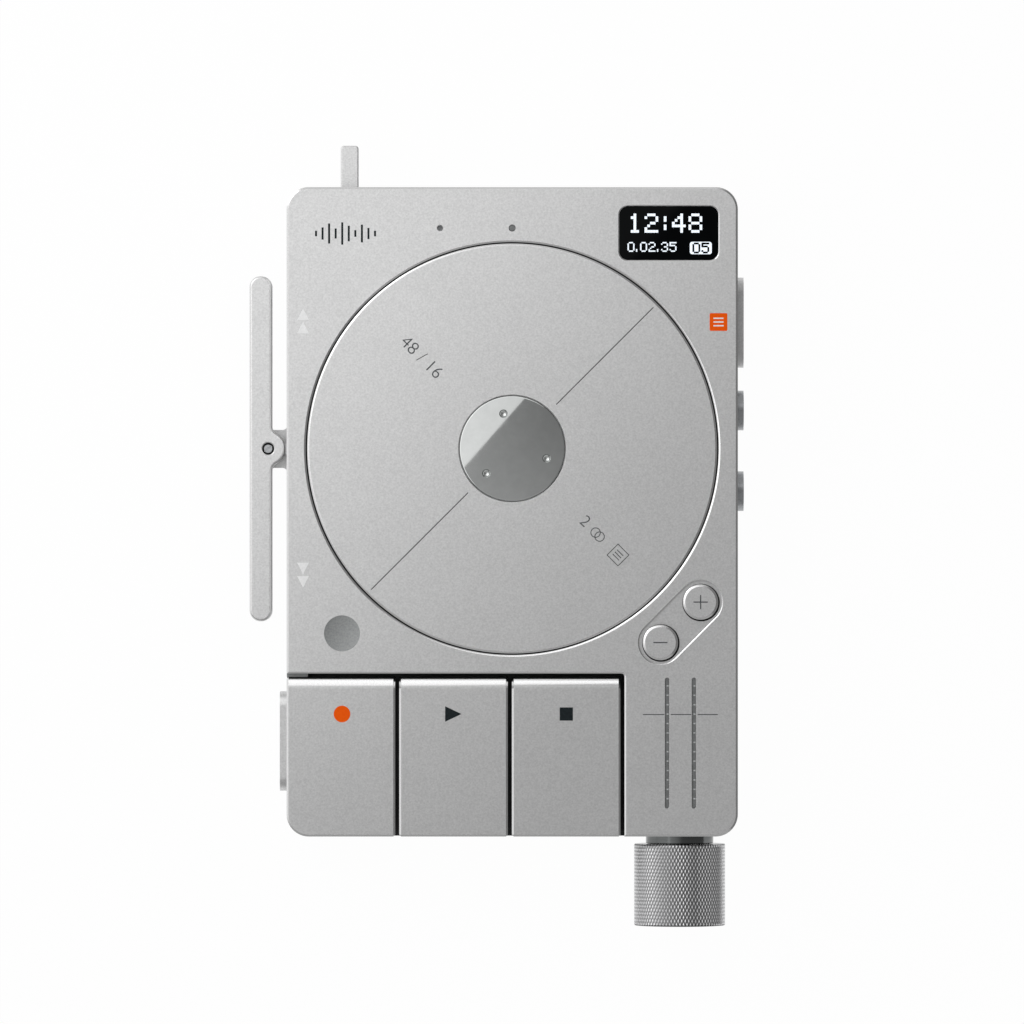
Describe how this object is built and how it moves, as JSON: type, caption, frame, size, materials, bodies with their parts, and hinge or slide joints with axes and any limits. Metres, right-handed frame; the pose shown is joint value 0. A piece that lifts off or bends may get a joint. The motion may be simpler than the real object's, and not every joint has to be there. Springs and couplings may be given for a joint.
{
  "type": "digital audio recorder",
  "caption": "Flat pocket audio recorder with a motor-driven reel disc, press keys, side rocker lever, small screen and a knurled volume knob.",
  "frame": {"origin": "centre of the flat rear face, on which the recorder lies", "axes": "+X to the right of the front face, +Y towards its top edge, +Z out of the front face"},
  "size_m": [0.0734, 0.1158, 0.0164],
  "materials": {
    "blasted_aluminium": "bead-blasted, clear anodised",
    "polished_metal": "mirror polished",
    "knurled_metal": "diamond knurled, satin",
    "black_glass": "gloss black window over a lit display",
    "smoked_plastic": "smoked light guide",
    "circuit_board": "solder-masked board",
    "battery_pouch": "foil pouch",
    "steel": "turned steel",
    "copper": "enamelled copper windings on laminations",
    "black_plastic": "moulded black plastic"
  },
  "bodies": {
    "housing": {"audio_jack_1": "black_plastic", "audio_jack_2": "black_plastic", "audio_jack_3": "black_plastic", "battery": "battery_pouch", "display_module": "black_plastic", "front_housing": "blasted_aluminium", "left_level_guide": "smoked_plastic", "left_side_switch": "black_plastic", "level_board": "circuit_board", "lower_bearing": "steel", "lower_side_switch": "black_plastic", "main_board": "circuit_board", "memo_switch": "black_plastic", "microphone": "steel", "minus_switch": "black_plastic", "mode_switch": "black_plastic", "motor_stator": "copper", "play_key_switch": "black_plastic", "plus_switch": "black_plastic", "rear_cover": "blasted_aluminium", "rear_screw_1": "steel", "rear_screw_2": "steel", "rear_screw_3": "steel", "rear_screw_4": "steel", "record_key_switch": "black_plastic", "right_level_guide": "smoked_plastic", "rocker_bracket": "blasted_aluminium", "rocker_pivot_screw": "steel", "rocker_switch": "black_plastic", "screen_window": "black_glass", "speaker": "black_plastic", "status_light_pipe": "smoked_plastic", "stop_key_switch": "black_plastic", "upper_bearing": "steel", "upper_side_switch": "black_plastic", "usb_socket": "steel", "volume_bushing": "polished_metal", "volume_encoder": "black_plastic"},
    "reel": {"reel_disc": "blasted_aluminium", "reel_cap": "polished_metal", "reel_spindle": "steel", "motor_bell": "steel", "motor_magnet": "black_plastic"},
    "record_key": {"record_key": "blasted_aluminium"},
    "play_key": {"play_key": "blasted_aluminium"},
    "stop_key": {"stop_key": "blasted_aluminium"},
    "plus_button": {"plus_button": "blasted_aluminium"},
    "minus_button": {"minus_button": "blasted_aluminium"},
    "rocker": {"rocker_lever": "blasted_aluminium"},
    "memo_button": {"memo_button": "blasted_aluminium"},
    "upper_side_button": {"upper_side_button": "blasted_aluminium"},
    "lower_side_button": {"lower_side_button": "blasted_aluminium"},
    "left_side_key": {"left_side_key": "blasted_aluminium"},
    "volume": {"volume_knob": "knurled_metal", "volume_shaft": "steel"},
    "mode": {"mode_lever": "blasted_aluminium"}
  },
  "joints": [
    {"name": "reel_spin", "type": "hinge", "parent": "housing", "child": "reel", "pos_m": [0, 0.00935, 0.012], "axis": [0, 0, 1], "continuous": true},
    {"name": "record_key_press", "type": "slide", "parent": "housing", "child": "record_key", "axis": [0, 0, -1], "range_m": [0, 0.001], "stiffness_N_per_m": 600, "springref_m": -0.0003},
    {"name": "play_key_press", "type": "slide", "parent": "housing", "child": "play_key", "axis": [0, 0, -1], "range_m": [0, 0.001], "stiffness_N_per_m": 600, "springref_m": -0.0003},
    {"name": "stop_key_press", "type": "slide", "parent": "housing", "child": "stop_key", "axis": [0, 0, -1], "range_m": [0, 0.001], "stiffness_N_per_m": 600, "springref_m": -0.0003},
    {"name": "plus_button_press", "type": "slide", "parent": "housing", "child": "plus_button", "axis": [0, 0, -1], "range_m": [0, 0.0005], "stiffness_N_per_m": 400, "springref_m": -0.0003},
    {"name": "minus_button_press", "type": "slide", "parent": "housing", "child": "minus_button", "axis": [0, 0, -1], "range_m": [0, 0.0005], "stiffness_N_per_m": 400, "springref_m": -0.0003},
    {"name": "memo_button_press", "type": "slide", "parent": "housing", "child": "memo_button", "axis": [-1, 0, 0], "range_m": [0, 0.0006], "stiffness_N_per_m": 400, "springref_m": -0.0003},
    {"name": "upper_side_button_press", "type": "slide", "parent": "housing", "child": "upper_side_button", "axis": [-1, 0, 0], "range_m": [0, 0.0006], "stiffness_N_per_m": 400, "springref_m": -0.0003},
    {"name": "lower_side_button_press", "type": "slide", "parent": "housing", "child": "lower_side_button", "axis": [-1, 0, 0], "range_m": [0, 0.0006], "stiffness_N_per_m": 400, "springref_m": -0.0003},
    {"name": "left_side_key_press", "type": "slide", "parent": "housing", "child": "left_side_key", "axis": [1, 0, 0], "range_m": [0, 0.0006], "stiffness_N_per_m": 400, "springref_m": -0.0003},
    {"name": "rocker_tilt", "type": "hinge", "parent": "housing", "child": "rocker", "pos_m": [-0.0362, 0.00935, 0.0087], "axis": [0, 0, 1], "range_deg": [-4, 4], "stiffness_Nm_per_rad": 0.2},
    {"name": "volume_turn", "type": "hinge", "parent": "housing", "child": "volume", "pos_m": [0.02487, -0.055, 0.008], "axis": [0, -1, 0], "range_deg": [-140, 140]},
    {"name": "mode_lever_flip", "type": "hinge", "parent": "housing", "child": "mode", "pos_m": [-0.02413, 0.0435, 0.008], "axis": [1, 0, 0], "range_deg": [-10, 10]}
  ]
}
